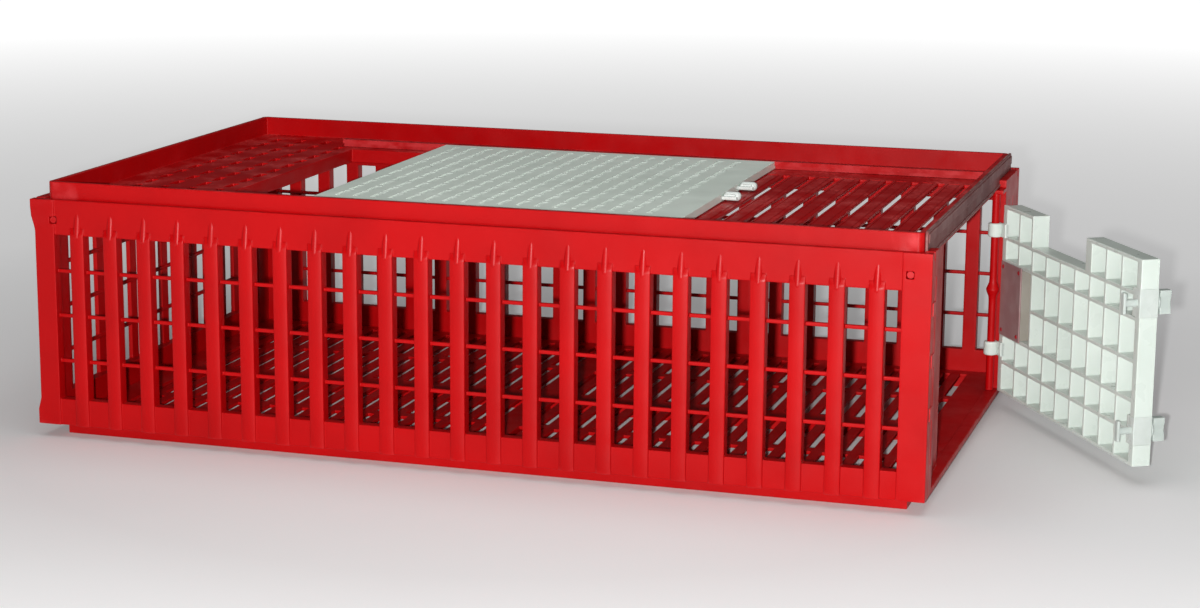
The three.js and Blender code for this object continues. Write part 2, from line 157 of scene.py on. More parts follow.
def plastic(name, colour, shade, worn_and_highlit, gloss, haze=0.1, glow=0.0, level=0.4, dust_and_sheen_colour=DUST):
    """Moulded plastic: cloudy colour, pale rubbed edges with a painted highlight, dust on top with a painted
    sheen, fine scratches and a pebbled skin.

    gloss is the middle roughness, haze the amount of dust and painted sheen, glow the light let in, level the
    shine.
    """
    material, shader, add, link = new_material(name)
    place = add("ShaderNodeTexCoord").outputs["Object"]
    geometry = add("ShaderNodeNewGeometry")
    clouds = spread(add, noise(add, place, 9.0, 4.0), 0.35, 0.7)
    tone = mixed(add, clouds, rgba(colour), rgba(shade))
    # Sharp edges are mixed to a paler, pinker tone: rubbed wear and a painted highlight along them.
    edge = spread(add, geometry.outputs["Pointiness"], 0.53, 0.62)
    rubbed_and_highlit = product(add, edge, spread(add, noise(add, place, 55.0, 3.0), 0.4, 0.6, 0.1, 0.6))
    tone = mixed(add, rubbed_and_highlit, tone, rgba(worn_and_highlit))
    # Faces that look up are mixed towards the dust colour: settled dust, and on the roof a painted sheen that
    # makes its top paler.
    facing = add("ShaderNodeSeparateXYZ", Vector=geometry.outputs["Normal"]).outputs[2]
    upward = spread(add, facing, 0.6, 1.0)
    settled_and_sheen = product(add, upward, spread(add, noise(add, place, 21.0, 5.0), 0.45, 0.75))
    dust_and_sheen = product(add, settled_and_sheen, spread(add, noise(add, place, 300.0), 0.3, 0.7, 0.0, haze))
    tone = mixed(add, dust_and_sheen, tone, rgba(dust_and_sheen_colour))
    link(tone, shader.inputs["Base Color"])
    long_way = add("ShaderNodeMapping", Vector=place, Scale=(0.35, 1.0, 3.0)).outputs[0]
    lines = spread(add, noise(add, long_way, 240.0, 1.0), 0.62, 0.74)
    patches = spread(add, noise(add, place, 34.0, 3.0), 0.3, 0.7, gloss - 0.06, gloss + 0.1)
    rough = add("ShaderNodeMath", {"operation": "ADD"}, i0=patches, i1=product(add, lines, dust_and_sheen)).outputs[0]
    link(rough, shader.inputs["Roughness"])
    pebbles = noise(add, place, 1400.0, 1.0)
    warp = noise(add, place, 26.0, 1.0)
    wavy = add("ShaderNodeBump", Height=warp, Strength=0.5, Distance=0.0012).outputs[0]
    scored = add("ShaderNodeBump", Height=lines, Strength=0.25, Distance=0.0001, Normal=wavy).outputs[0]
    skin = add("ShaderNodeBump", Height=pebbles, Strength=0.3, Distance=0.0001, Normal=scored).outputs[0]
    link(skin, shader.inputs["Normal"])
    shader.inputs["IOR"].default_value = 1.5
    shader.inputs["Specular IOR Level"].default_value = level
    if glow:
        shader.inputs["Subsurface Weight"].default_value = glow
        shader.inputs["Subsurface Radius"].default_value = (1.0, 0.95, 0.9)
        shader.inputs["Subsurface Scale"].default_value = 0.004
    return material


red = plastic("red_moulding", RED, DEEP_RED, RUBBED_AND_HIGHLIT_RED, 0.38, 0.04, level=0.15)
# The roof's material: its top is made much paler by dust and a painted sheen.
dusty_sheened_red = plastic(
    "dusty_red_moulding", RED, DEEP_RED, RUBBED_AND_HIGHLIT_RED, 0.38, 1.8, level=0.15, dust_and_sheen_colour=ROOF_DUST_AND_SHEEN)
pale = plastic(
    "pale_moulding", (0.81, 0.90, 0.82), (0.73, 0.82, 0.74), (0.88, 0.93, 0.88), 0.45, 0.1, level=0.25)
white = plastic("white_moulding", (0.66, 0.70, 0.67), (0.58, 0.62, 0.59), (0.80, 0.83, 0.80), 0.32, 0.1, 0.15)
grey = plastic("latch_moulding", (0.45, 0.50, 0.47), (0.38, 0.43, 0.40), (0.62, 0.66, 0.63), 0.35, 0.1, 0.15)
clear = plastic("undyed_moulding", (0.60, 0.66, 0.61), (0.52, 0.58, 0.53), (0.76, 0.80, 0.76), 0.3, 0.1, 0.3)
# A grey-brown for the rim bar: a painted reflection of glare on red plastic.
painted_glare_brown = plastic(
    "rim_bar_painted_glare", (0.20, 0.062, 0.058), (0.14, 0.040, 0.038), (0.40, 0.27, 0.25), 0.45, 0.05,
    level=0.06)
stud = plastic("stud_moulding", (0.30, 0.012, 0.018), (0.22, 0.008, 0.012), (0.5, 0.1, 0.1), 0.3)
# Mauve for the white plate's cover: painted shade and a painted reflection of the red crate.
painted_shade_mauve = plastic("plate_painted_shade", (0.30, 0.17, 0.17), (0.26, 0.14, 0.14), (0.42, 0.36, 0.34), 0.35)
# Beige for the plate's body: white plastic with painted shade.
painted_shade_beige = plastic("plate_body_painted_shade", (0.27, 0.25, 0.21), (0.23, 0.21, 0.18), (0.36, 0.34, 0.29), 0.35)


# ---- Mesh building ------------------------------------------------------------------------------

MATCH_DIGITS = 6  # planes are matched to a micrometre


def slab(x, y, z):
    """A box as (lowest corner, highest corner), each given range in either order."""
    ranges = [sorted(side) for side in (x, y, z)]
    return [side[0] for side in ranges], [side[1] for side in ranges]


def around(centre, half):
    return centre - half, centre + half


def cell_surface(adds, cuts=(), lines=((), (), ())):
    """Points and quads that bound the union of adds less cuts. Extra lines split the quads."""
    corners = np.array([*adds, *cuts]).round(MATCH_DIGITS)
    extra = [np.round(lines[axis], MATCH_DIGITS) for axis in range(3)]
    planes = [np.unique([*corners[:, :, axis].ravel(), *extra[axis]]) for axis in range(3)]
    filled = np.zeros([len(values) + 1 for values in planes], bool)
    for boxes, state in ((adds, True), (cuts, False)):
        for low, high in boxes:
            ends = [np.round((low[axis], high[axis]), MATCH_DIGITS) for axis in range(3)]
            spans = [np.searchsorted(planes[axis], ends[axis]) for axis in range(3)]
            filled[tuple(slice(first + 1, last + 1) for first, last in spans)] = state
    quads = []
    for axis in range(3):
        second, third = (axis + 1) % 3, (axis + 2) % 3
        for side in (0, 1):
            neighbour = np.roll(filled, -1 if side else 1, axis=axis)
            start = np.argwhere(filled & ~neighbour) - 1
            start[:, axis] += side
            loop = [start.copy() for _ in range(4)]
            loop[1][:, second] += 1
            loop[2][:, second] += 1
            loop[2][:, third] += 1
            loop[3][:, third] += 1
            quads.append(np.stack(loop if side else loop[::-1], axis=1))
    used, index = np.unique(np.concatenate(quads).reshape(-1, 3), axis=0, return_inverse=True)
    points = np.stack([planes[axis][used[:, axis]] for axis in range(3)], axis=1)
    return points, index.reshape(-1, 4)


def lathe_surface(profile, sides=28):
    """Points and faces of (radius, height) pairs turned round Z, closed by a cap at each end."""
    points = []
    for radius, height in profile:
        for number in range(sides):
            angle = 2 * math.pi * number / sides
            points.append((radius * math.cos(angle), radius * math.sin(angle), height))
    faces = []
    for ring in range(len(profile) - 1):
        for number in range(sides):
            after = (number + 1) % sides
            low, high = ring * sides, (ring + 1) * sides
            faces.append((low + number, low + after, high + after, high + number))
    last = (len(profile) - 1) * sides
    faces.append(tuple(range(sides))[::-1])
    faces.append(tuple(range(last, last + sides)))
    return np.array(points), faces


def tube_surface(inner, outer, low, high, edge, sides=28):
    """Points and faces of a ring round Z with chamfered outside edges."""
    profile = [(inner, low), (outer - edge, low), (outer, low + edge)]
    profile += [(outer, high - edge), (outer - edge, high), (inner, high)]
    points, faces = lathe_surface(profile, sides)
    faces = faces[:-2]
    last = (len(profile) - 1) * sides
    for number in range(sides):
        after = (number + 1) % sides
        faces.append((number, last + number, last + after, after))
    return points, faces


def capsule(radius, length, rings=7):
    """(radius, height) pairs of a round-ended cylinder of that whole length."""
    profile = []
    for ring in range(1, rings + 1):
        angle = math.pi / 2 * ring / rings
        profile.append((radius * math.sin(angle), radius * (1 - math.cos(angle))))
    return profile + [(r, length - h) for r, h in reversed(profile)]


def turned(surface, matrix):
    points, faces = surface
    return np.array([matrix @ Vector(point) for point in points]), faces


def build(name, surfaces, material, deform=None, rounds=(), edge=0.0008, segments=2, smooth=0.5):
    """A piece from closed surfaces: rounds are (test, radius), and the rest of the sharp edges are eased."""
    mesh = bmesh.new()
    for points, faces in surfaces:
        made = [mesh.verts.new(point) for point in points]
        for face in faces:
            mesh.faces.new([made[corner] for corner in face])
    for test, radius in rounds:
        chosen = [e for e in mesh.edges if test(*(v.co for v in e.verts))]
        bmesh.ops.bevel(mesh, geom=chosen, offset=radius, segments=5, profile=0.5, affect="EDGES")
    if deform:
        places = deform(np.array([v.co for v in mesh.verts]))
        for vertex, place in zip(mesh.verts, places):
            vertex.co = place
    bmesh.ops.recalc_face_normals(mesh, faces=mesh.faces)
    data = bpy.data.meshes.new(name)
    mesh.to_mesh(data)
    mesh.free()
    data.shade_smooth()
    data.materials.append(material)
    piece = bpy.data.objects.new(name, data)
    bpy.context.collection.objects.link(piece)
    ease(piece, edge, segments, smooth)
    return piece


def ease(piece, edge, segments=2, angle=0.5):
    """Rounds the sharp edges of a piece and shades it smoothly."""
    bevel = piece.modifiers.new("eased_edges", "BEVEL")
    bevel.width = edge
    bevel.segments = segments
    bevel.limit_method = "ANGLE"
    bevel.angle_limit = angle
    bevel.use_clamp_overlap = False
    bevel.miter_outer = "MITER_ARC"
    weighted = piece.modifiers.new("even_shading", "WEIGHTED_NORMAL")
    weighted.weight = 60


def add_piece(piece, body, slot, *stands_for):
    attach(piece, body)
    if stands_for:
        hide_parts(*stands_for)


def smooth_step(values, start, end):
    """0 before start, 1 after end and a smooth rise between."""
    t = np.clip((values - start) / (end - start), 0, 1)
    return t * t * (3 - 2 * t)


# ---- Driving dimensions -------------------------------------------------------------------------

wall_low, wall_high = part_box("front_long_wall")
roof_low, roof_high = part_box("roof_frame")
_, base_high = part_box("base_tray")
GAP = 0.0003
HALF_LENGTH = wall_high[0]
HALF_WIDTH = -wall_low[1]
WALL_DEPTH = wall_high[1] - wall_low[1]
WALL_BOTTOM, WALL_TOP = wall_low[2], wall_high[2]
WALL_LIP = 0.010
ROOF_LEDGE = 0.2537
BAR_PITCH = 0.0394
BAR_WIDTH = 0.016
BAR_SHIFT = 0.002
BAND_RECESS = 0.002
BAR_CROWN = 0.0013
LONG_BARS, END_BARS = 23, 13
LONG_WINDOWS, END_WINDOWS = (-0.462, 0.456), (-0.245, 0.245)
WINDOW_BOTTOM, WINDOW_TOP = 0.043, 0.224
BAR_END = 0.232
WALL_ROWS = (0.019, 0.030, 0.226, 0.228, 0.230)
CROWN_COLUMNS = (-0.3, -0.12, 0.12, 0.3)
ROD_LEVELS = (0.085, 0.135, 0.184)
ROD_SIZE = 0.004
LONG_ROD_RECESS, END_ROD_RECESS = 0.006, 0.002
END_BAR_DEPTH = 0.005
RIDGE_RADIUS = 0.0044
RIDGE_HEIGHT = (0.2185, 0.2525)
RIDGE_PROUD = 0.0017
RIDGE_LEAN = 0.15
LOCK_X, LOCK_Z = 0.4635, 0.240
LOCK_HALF = 0.0038
LOCK_DEPTH = 0.008
FLARE_START, FLARE_FULL = LOCK_X + 0.005, HALF_LENGTH - 0.007
TOP_FLARE, TOP_FLARE_Z = 0.005, (0.226, 0.250)
FOOT_FLARE, FOOT_FLARE_Z = 0.0035, (0.036, 0.044)


# ---- Barred walls -------------------------------------------------------------------------------

def bar_centres(bars):
    first = -BAR_PITCH * (bars - 1) / 2 - BAR_SHIFT
    return [first + BAR_PITCH * number for number in range(bars)]


def wall_surface(half, bars, windows, bar_depth, rod_recess, locks):
    """A barred wall along u, with depth d from its outer face and height z."""
    height = (WALL_BOTTOM, WALL_TOP)
    lip, whole = (BAND_RECESS, WALL_LIP), (BAND_RECESS, WALL_DEPTH)
    adds = [
        slab((-half, half), whole, (WINDOW_TOP, ROOF_LEDGE)),
        slab((-half, half), lip, (ROOF_LEDGE, WALL_TOP)),
        slab((-half, half), whole, (WALL_BOTTOM, WINDOW_BOTTOM)),
    ]
    for post in ((-half, windows[0]), (windows[1], half)):
        adds.append(slab(post, (0, WALL_LIP), height))
        adds.append(slab(post, (0, WALL_DEPTH), (WALL_BOTTOM, ROOF_LEDGE)))
    across = []
    for centre in bar_centres(bars):
        adds.append(slab(around(centre, BAR_WIDTH / 2), (0, bar_depth), (WALL_BOTTOM, BAR_END)))
        across += [centre + BAR_WIDTH * share for share in CROWN_COLUMNS]
    for level in ROD_LEVELS:
        rod = (rod_recess, rod_recess + ROD_SIZE)
        adds.append(slab(windows, rod, around(level, ROD_SIZE / 2)))
    cuts = []
    if locks:
        for end in (-1, 1):
            hole = around(end * LOCK_X, LOCK_HALF)
            cuts.append(slab(hole, (-GAP, LOCK_DEPTH), around(LOCK_Z, LOCK_HALF)))
    return cell_surface(adds, cuts, (across, (), WALL_ROWS))


def crowned(points, bars):
    """Rounds the bars' outer faces and lets them sink into the top band."""
    u, d, z = points.T
    centre = np.array(bar_centres(bars))
    nearest = centre[np.abs(u[:, None] - centre[None, :]).argmin(axis=1)]
    reach = (u - nearest) / (BAR_WIDTH / 2)
    on_bar = (np.abs(reach) < 1.001) & (d < GAP)
    proud = BAR_CROWN * (1 - np.clip(reach, -1, 1) ** 2)
    sink = smooth_step(z, WINDOW_TOP, BAR_END)
    d = np.where(on_bar, -proud * (1 - sink) + (BAND_RECESS - GAP) * sink, d)
    return np.stack([u, d, z], axis=1)


def ridges(bars):
    """A round ridge over each bar that leans back until it meets the top band."""
    low, high = RIDGE_HEIGHT
    surfaces = []
    for centre in bar_centres(bars):
        lean = Matrix.Rotation(-math.atan(RIDGE_LEAN), 4, "X")
        depth = RIDGE_RADIUS - RIDGE_PROUD - RIDGE_LEAN * (WINDOW_TOP - low)
        start = Matrix.Translation((centre, depth, low))
        surfaces.append(turned(lathe_surface(capsule(RIDGE_RADIUS, high - low), 20), start @ lean))
    return surfaces


def flared(points):
    """The left end stands out a little at its top and its foot."""
    x, y, z = points.T
    amount = TOP_FLARE * smooth_step(z, *TOP_FLARE_Z) + FOOT_FLARE * (1 - smooth_step(z, *FOOT_FLARE_Z))
    x = x - amount * smooth_step(-x, FLARE_START, FLARE_FULL)
    return np.stack([x, y, z], axis=1)


def long_wall(name, node, side):
    def place(points):
        u, d, z = points.T
        return flared(np.stack([-side * u, side * (HALF_WIDTH - d), z], axis=1))

    points, faces = wall_surface(HALF_LENGTH, LONG_BARS, LONG_WINDOWS, WALL_DEPTH, LONG_ROD_RECESS, True)
    surface = crowned(points, LONG_BARS), faces
    piece = build(name, [surface, *ridges(LONG_BARS)], red, place)
    add_piece(piece, "crate", "red_plastic", node)


long_wall("barred_wall_front", "front_long_wall", -1)
long_wall("barred_wall_rear", "rear_long_wall", 1)


def left_end_wall():
    low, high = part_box("left_end_wall")

    def place(points):
        u, d, z = points.T
        return flared(np.stack([low[0] + d, -u, z], axis=1))

    points, faces = wall_surface(high[1], END_BARS, END_WINDOWS, END_BAR_DEPTH, END_ROD_RECESS, False)
    surface = crowned(points, END_BARS), faces
    piece = build("barred_wall_left", [surface, *ridges(END_BARS)], red, place)
    add_piece(piece, "crate", "red_plastic", "left_end_wall")


left_end_wall()


# ---- End frame round the doorway ----------------------------------------------------------------

DOORWAY_FRONT, DOORWAY_REAR = -0.168, 0.188
DOORWAY_BOTTOM, DOORWAY_TOP = 0.020, 0.249
LANDING_START = -0.255
LINTEL_DEPTH = 0.009
HINGE = (0.476, 0.176)
HINGE_EAR_HALF = 0.010
LATCH_DISTANCE = 0.338
LATCH_LEVELS = {"upper": 0.1905, "lower": 0.0575}
JAMB_GROOVES = (-0.2665, 0.214, 0.244)
JAMB_GROOVE_HALF, JAMB_GROOVE_DEPTH = 0.0012, 0.0016
JAMB_GROOVE_Z = (0.047, 0.236)


def end_frame():
    _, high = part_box("right_end_frame")
    outer, half, _ = high
    lip = outer - WALL_LIP
    inner = outer - WALL_DEPTH
    lintel = (DOORWAY_TOP, ROOF_LEDGE)
    adds = []
    for jamb in ((-half, LANDING_START), (DOORWAY_REAR, half)):
        adds.append(slab((lip, outer), jamb, (WALL_BOTTOM, WALL_TOP)))
        adds.append(slab((inner, lip), jamb, (WALL_BOTTOM, ROOF_LEDGE)))
    adds.append(slab((inner, outer), (LANDING_START, DOORWAY_REAR), (WALL_BOTTOM, DOORWAY_BOTTOM)))
    adds.append(slab((lip - LINTEL_DEPTH, lip), (-half, half), lintel))
    adds.append(slab((inner, lip), (LANDING_START, DOORWAY_FRONT), (WALL_BOTTOM, ROOF_LEDGE)))
    adds.append(slab((inner, outer), (HINGE[1] - HINGE_EAR_HALF, DOORWAY_REAR), lintel))
    cuts = []
    for groove in JAMB_GROOVES:
        depth = (outer - JAMB_GROOVE_DEPTH, outer + GAP)
        cuts.append(slab(depth, around(groove, JAMB_GROOVE_HALF), JAMB_GROOVE_Z))
    piece = build("doorway_frame", [cell_surface(adds, cuts)], red)
    add_piece(piece, "crate", "red_plastic", "right_end_frame")


end_frame()


# ---- Base ---------------------------------------------------------------------------------------

FLOOR_BOTTOM = 0.013
FLOOR_SLOTS = 22
FLOOR_SLOT_PITCH = 0.0197
FLOOR_SLOT_WIDTH = 0.008
FLOOR_SLOT_ROWS = ((0.014, 0.130), (0.144, 0.258))
FOOT_INSET = 0.021
FOOT_WALL = 0.006
KEEL_HALF = 0.006


def base():
    foot_x, foot_y = HALF_LENGTH - FOOT_INSET, HALF_WIDTH - FOOT_INSET
    plate_x, plate_y = base_high[0], base_high[1]
    adds = [slab((-plate_x, plate_x), (-plate_y, plate_y), (FLOOR_BOTTOM, base_high[2]))]
    for side in (-1, 1):
        adds.append(slab((side * (foot_x - FOOT_WALL), side * foot_x), (-foot_y, foot_y), (0, FLOOR_BOTTOM)))
        adds.append(slab((-foot_x, foot_x), (side * (foot_y - FOOT_WALL), side * foot_y), (0, FLOOR_BOTTOM)))
    adds.append(slab((-KEEL_HALF, KEEL_HALF), (-foot_y, foot_y), (0, FLOOR_BOTTOM)))
    adds.append(slab((-foot_x, foot_x), (-KEEL_HALF, KEEL_HALF), (0, FLOOR_BOTTOM)))
    cuts = []
    for number in range(1, FLOOR_SLOTS + 1):
        for side in (-1, 1):
            slot = around(side * number * FLOOR_SLOT_PITCH, FLOOR_SLOT_WIDTH / 2)
            for row in FLOOR_SLOT_ROWS:
                for half in (-1, 1):
                    span = (half * row[0], half * row[1])
                    cuts.append(slab(slot, span, (FLOOR_BOTTOM, base_high[2] + GAP)))
    piece = build("slotted_base", [cell_surface(adds, cuts)], red, edge=0.0007)
    add_piece(piece, "crate", "red_plastic", "base_tray")


base()


# ---- Roof ---------------------------------------------------------------------------------------

ROOF_TOP = 0.258
RIM_THICKNESS = 0.006
OPENING = (-0.316, 0.080)
OPENING_HALF = 0.188
BEAM_THICKNESS = 0.005
SLOT_PITCH = 0.0299
SLOT_HALF_WIDTH = 0.004
SLOT_HALF = 0.165
FIRST_RIGHT_SLOT = 0.1159
RIGHT_SLOTS = 12
RIM_SLOT = (0.256, 0.270)
FIRST_LEFT_SLOT = -0.436
LEFT_SLOTS = 4
LEFT_SLOT_PITCH = 0.0334
LEFT_ROWS = 13
LEFT_ROW_PITCH = 0.038
LEFT_ROW_HALF = 0.013
RIM_CORNER = 0.008
SLOT_RIDGE, SLOT_RIDGE_HALF = 0.0006, 0.0065
SLOT_RIDGE_INSET = 0.004


def rim_corner(first, second):
    """An upright edge at an outer corner of the rim."""
    upright = abs(first[2] - second[2]) > GAP
    middle = (first + second) / 2
    return upright and abs(middle[0]) > roof_high[0] - GAP and abs(middle[1]) > roof_high[1] - GAP


def roof():
    x, y = roof_high[0], roof_high[1]
    plate = (ROOF_LEDGE + GAP, ROOF_TOP)
    deep = (roof_low[2], ROOF_TOP)
    adds = [slab((-x, x), (-y, y), plate)]
    for side in (-1, 1):
        rim = (ROOF_TOP, roof_high[2])
        adds.append(slab((side * (x - RIM_THICKNESS), side * x), (-y, y), rim))
        adds.append(slab((-x, x), (side * (y - RIM_THICKNESS), side * y), rim))
        beam = (side * OPENING_HALF, side * (OPENING_HALF + BEAM_THICKNESS))
        adds.append(slab((OPENING[0] - BEAM_THICKNESS, OPENING[1] + BEAM_THICKNESS), beam, deep))
    for edge in (OPENING[0] - BEAM_THICKNESS, OPENING[1]):
        adds.append(slab((edge, edge + BEAM_THICKNESS), around(0, OPENING_HALF + BEAM_THICKNESS), deep))
    through = (roof_low[2] - GAP, ROOF_TOP + SLOT_RIDGE + GAP)
    cuts = [slab(OPENING, around(0, OPENING_HALF), through)]
    for number in range(RIGHT_SLOTS):
        centre = FIRST_RIGHT_SLOT + SLOT_PITCH * number
        slot = around(centre, SLOT_HALF_WIDTH)
        cuts.append(slab(slot, around(0, SLOT_HALF), through))
        for side in (-1, 1):
            cuts.append(slab(slot, (side * RIM_SLOT[0], side * RIM_SLOT[1]), through))
        if number + 1 < RIGHT_SLOTS:
            ridge = around(centre + SLOT_PITCH / 2, SLOT_RIDGE_HALF)
            along = around(0, SLOT_HALF - SLOT_RIDGE_INSET)
            adds.append(slab(ridge, along, (ROOF_TOP, ROOF_TOP + SLOT_RIDGE)))
    for column in range(LEFT_SLOTS):
        slot = around(FIRST_LEFT_SLOT + LEFT_SLOT_PITCH * column, SLOT_HALF_WIDTH)
        for row in range(LEFT_ROWS):
            centre = LEFT_ROW_PITCH * (row - (LEFT_ROWS - 1) / 2)
            cuts.append(slab(slot, around(centre, LEFT_ROW_HALF), through))
    rounds = [(rim_corner, RIM_CORNER)]
    # The roof's top is painted paler with dust and a painted sheen.
    piece = build("slotted_roof", [cell_surface(adds, cuts)], dusty_sheened_red, rounds=rounds, edge=0.001)
    add_piece(piece, "crate", "red_plastic", "roof_frame")


roof()


# ---- Bar along the rim over the doorway ---------------------------------------------------------

BAR_REACH = 0.0032
BAR_BOTTOM = 0.2545
BAR_TOP = roof_high[2] + 0.0012
BAR_MIDDLE = (BAR_BOTTOM + BAR_TOP) / 2
BEAD_RISE, BEAD_INSET = 0.0012, 0.003
BEAD_LEVELS = ((BAR_MIDDLE + 0.001, BAR_TOP - 0.003), (BAR_BOTTOM, BAR_BOTTOM + 0.0028))
BAR_END_RADIUS = 0.007


def rim_bar():
    """A flat bar with two raised beads along it."""
    x, y = roof_high[0], roof_high[1] - RIM_CORNER * 0.6
    adds = [slab((x + GAP, x + BAR_REACH), (-y, y), (BAR_BOTTOM, BAR_TOP))]
    for level in BEAD_LEVELS:
        adds.append(slab((x + GAP, x + BAR_REACH + BEAD_RISE), (BEAD_INSET - y, y - BEAD_INSET), level))

    def end_edge(first, second):
        along = abs(first[0] - second[0]) > GAP
        outermost = first[2] > BAR_TOP - GAP or first[2] < BAR_BOTTOM + GAP
        return along and abs(first[1]) > y - GAP and outermost

    rounds = [(end_edge, BAR_END_RADIUS)]
    # The bar is coloured grey-brown, a painted reflection of glare on the red rim.
    piece = build("rim_end_bar", [cell_surface(adds)], painted_glare_brown, rounds=rounds, edge=0.0007, segments=3)
    add_piece(piece, "crate", "red_plastic")


rim_bar()


# ---- Rails, clips and pins from the frame, with eased edges -------------------------------------

for node_name, node in nodes.items():
    if node_name.startswith(("top_door_rail", "corner_clip", "roof_lock_pin")):
        ease(node, 0.0006)
        node.data.materials.clear()
        node.data.materials.append(red)


# ---- Sliding top door ---------------------------------------------------------------------------

door_low, door_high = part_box("top_sliding_door")
DOOR_TONGUE = 0.003
DOOR_TONGUE_REACH = 0.004
DOOR_HALF = door_high[1] - DOOR_TONGUE_REACH
GROOVE_COLUMNS = 18
GROOVE_PITCH = 0.0205
GROOVE_HALF_WIDTH = 0.0035
GROOVE_ROWS = 10
GROOVE_ROW_PITCH = 0.038
GROOVE_HALF_LENGTH = 0.015
GROOVE_DEPTH = 0.0012
FIRST_GROOVE = 0.0215
GROOVE_RAMP = 0.008
GROOVE_END_DEPTH = 0.0003
CATCH_Y = 0.036
CATCH_HALF = 0.009
CATCH_TRAVEL = 0.005
CATCH_DEPTH = 0.010
CATCH_POCKET_Z = (0.261, 0.2655)
CATCH_PLATE_REACH = 0.0165
GRIP_INSET, GRIP_HEIGHT = 0.002, 0.002


def top_door():
    bottom, top = door_low[2], door_high[2]
    length = (door_low[0], door_high[0])
    adds = [
        slab(length, around(0, DOOR_HALF), (bottom, top)),
        slab(length, around(0, door_high[1]), (bottom, bottom + DOOR_TONGUE)),
    ]
    cuts = []
    middles = np.array([GROOVE_ROW_PITCH * (row - (GROOVE_ROWS - 1) / 2) for row in range(GROOVE_ROWS)])
    for column in range(GROOVE_COLUMNS):
        centre = door_low[0] + FIRST_GROOVE + GROOVE_PITCH * column
        for middle in middles:
            span = around(middle, GROOVE_HALF_LENGTH)
            cuts.append(slab(around(centre, GROOVE_HALF_WIDTH), span, (top - GROOVE_DEPTH, top + GAP)))
    for side in (-1, 1):
        near, far = CATCH_Y - CATCH_HALF - GAP - CATCH_TRAVEL, CATCH_Y + CATCH_HALF + GAP
        pocket = (length[1] - CATCH_DEPTH, length[1] + GAP)
        cuts.append(slab(pocket, (side * near, side * far), CATCH_POCKET_Z))
    ramp_start = GROOVE_HALF_LENGTH - GROOVE_RAMP
    ramps = [middle + side * ramp_start for middle in middles for side in (-1, 1)]

    def ramped(points):
        """The grooves' floors rise towards their ends."""
        x, y, z = points.T
        across = np.abs(y[:, None] - middles[None, :]).min(axis=1)
        rise = np.clip((across - ramp_start) / GROOVE_RAMP, 0, 1)
        on_floor = np.abs(z - top + GROOVE_DEPTH) < GAP / 3
        z = np.where(on_floor, z + rise * (GROOVE_DEPTH - GROOVE_END_DEPTH), z)
        return np.stack([x, y, z], axis=1)

    surface = cell_surface(adds, cuts, ((), ramps, ()))
    piece = build("slatted_top_door", [surface], pale, ramped, edge=0.0004)
    add_piece(piece, "top_door", "pale_plastic", "top_sliding_door")


top_door()


ALONG_X = Matrix.Rotation(math.pi / 2, 4, "Y")


def catch(side, name, node):
    """A rounded lug with a grip rib and a tongue in the door's slot."""
    low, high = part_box(node)
    outside = door_high[0] + GAP
    centre = side * CATCH_Y
    radius = (high[2] - low[2]) / 2
    head = turned(
        lathe_surface(capsule(radius, high[0] - outside)),
        Matrix.Translation((outside, centre, high[2] - radius)) @ ALONG_X,
    )
    tongue_z = (CATCH_POCKET_Z[0] + GAP, CATCH_POCKET_Z[1] - GAP)
    grip_x = (outside + GRIP_INSET, outside + CATCH_PLATE_REACH - GRIP_INSET)
    plate = cell_surface([
        slab((low[0], outside + CATCH_DEPTH), around(centre, CATCH_HALF - GAP), tongue_z),
        slab((outside, outside + CATCH_PLATE_REACH), around(centre, CATCH_HALF), tongue_z),
        slab(grip_x, around(centre, CATCH_HALF - GRIP_INSET), (tongue_z[1], tongue_z[1] + GRIP_HEIGHT)),
    ])
    piece = build(name, [head, plate], white, edge=0.0010, segments=3)
    add_piece(piece, f"top_catch_{'front' if side < 0 else 'rear'}", "white_plastic", node)


catch(-1, "door_lug_front", "top_door_catch_front")
catch(1, "door_lug_rear", "top_door_catch_rear")


# ---- Hinge rod ----------------------------------------------------------------------------------

HINGE_ROD_RADIUS = 0.0045
COLLAR_Z = 0.138
COLLAR_RISE = 0.0035
COLLAR_SPREAD = 0.0055
ROD_RINGS = 60


def hinge_rod():
    low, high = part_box("end_door_hinge_rod")
    profile = []
    for ring in range(ROD_RINGS + 1):
        z = low[2] + (high[2] - low[2]) * ring / ROD_RINGS
        bulge = COLLAR_RISE * math.exp(-((z - COLLAR_Z) / COLLAR_SPREAD) ** 2)
        profile.append((HINGE_ROD_RADIUS + bulge, z))
    rod = turned(lathe_surface(profile), Matrix.Translation((*HINGE, 0)))
    piece = build("door_hinge_rod", [rod], red, edge=0.0006)
    add_piece(piece, "crate", "red_plastic", "end_door_hinge_rod")


hinge_rod()


# ---- End door, in its own frame: thickness, distance from the hinge (negative Y), height ---------

OPEN_ANGLE = math.radians(32.2)
LEAF = Matrix.Translation((*HINGE, 0)) @ Matrix.Rotation(OPEN_ANGLE, 4, "Z")
LEAF_INNER, LEAF_OUTER = 0.0075, 0.0275
LEAF_START, LEAF_END = 0.005, 0.345
HEEL_START, HEEL_END = 0.0115, 0.0095
LEAF_BOTTOM, LEAF_SHOULDER, LEAF_TOP = 0.0205, 0.201, 0.236
LEAF_RIBS = (0.022, 0.056, 0.088, 0.129, 0.173, 0.199)
RIB_HEIGHT = 0.004
LEAF_COLUMNS = 9
LEAF_BAR = 0.004
LEAF_FRAME = 0.010
LEAF_PITCH = (LEAF_END - LEAF_START - 2 * LEAF_FRAME + LEAF_BAR) / LEAF_COLUMNS
NOTCH = (0.084, 0.217)
PLATE_COLUMNS = 2
PLATE_HEIGHT = (0.090, 0.171)
HOOK_LEVELS = ((0.062, 0.078), (0.199, 0.215))
HOOK_RADIUS = 0.008
HOOK_BORE = 0.005
HOOK_EDGE = 0.0012
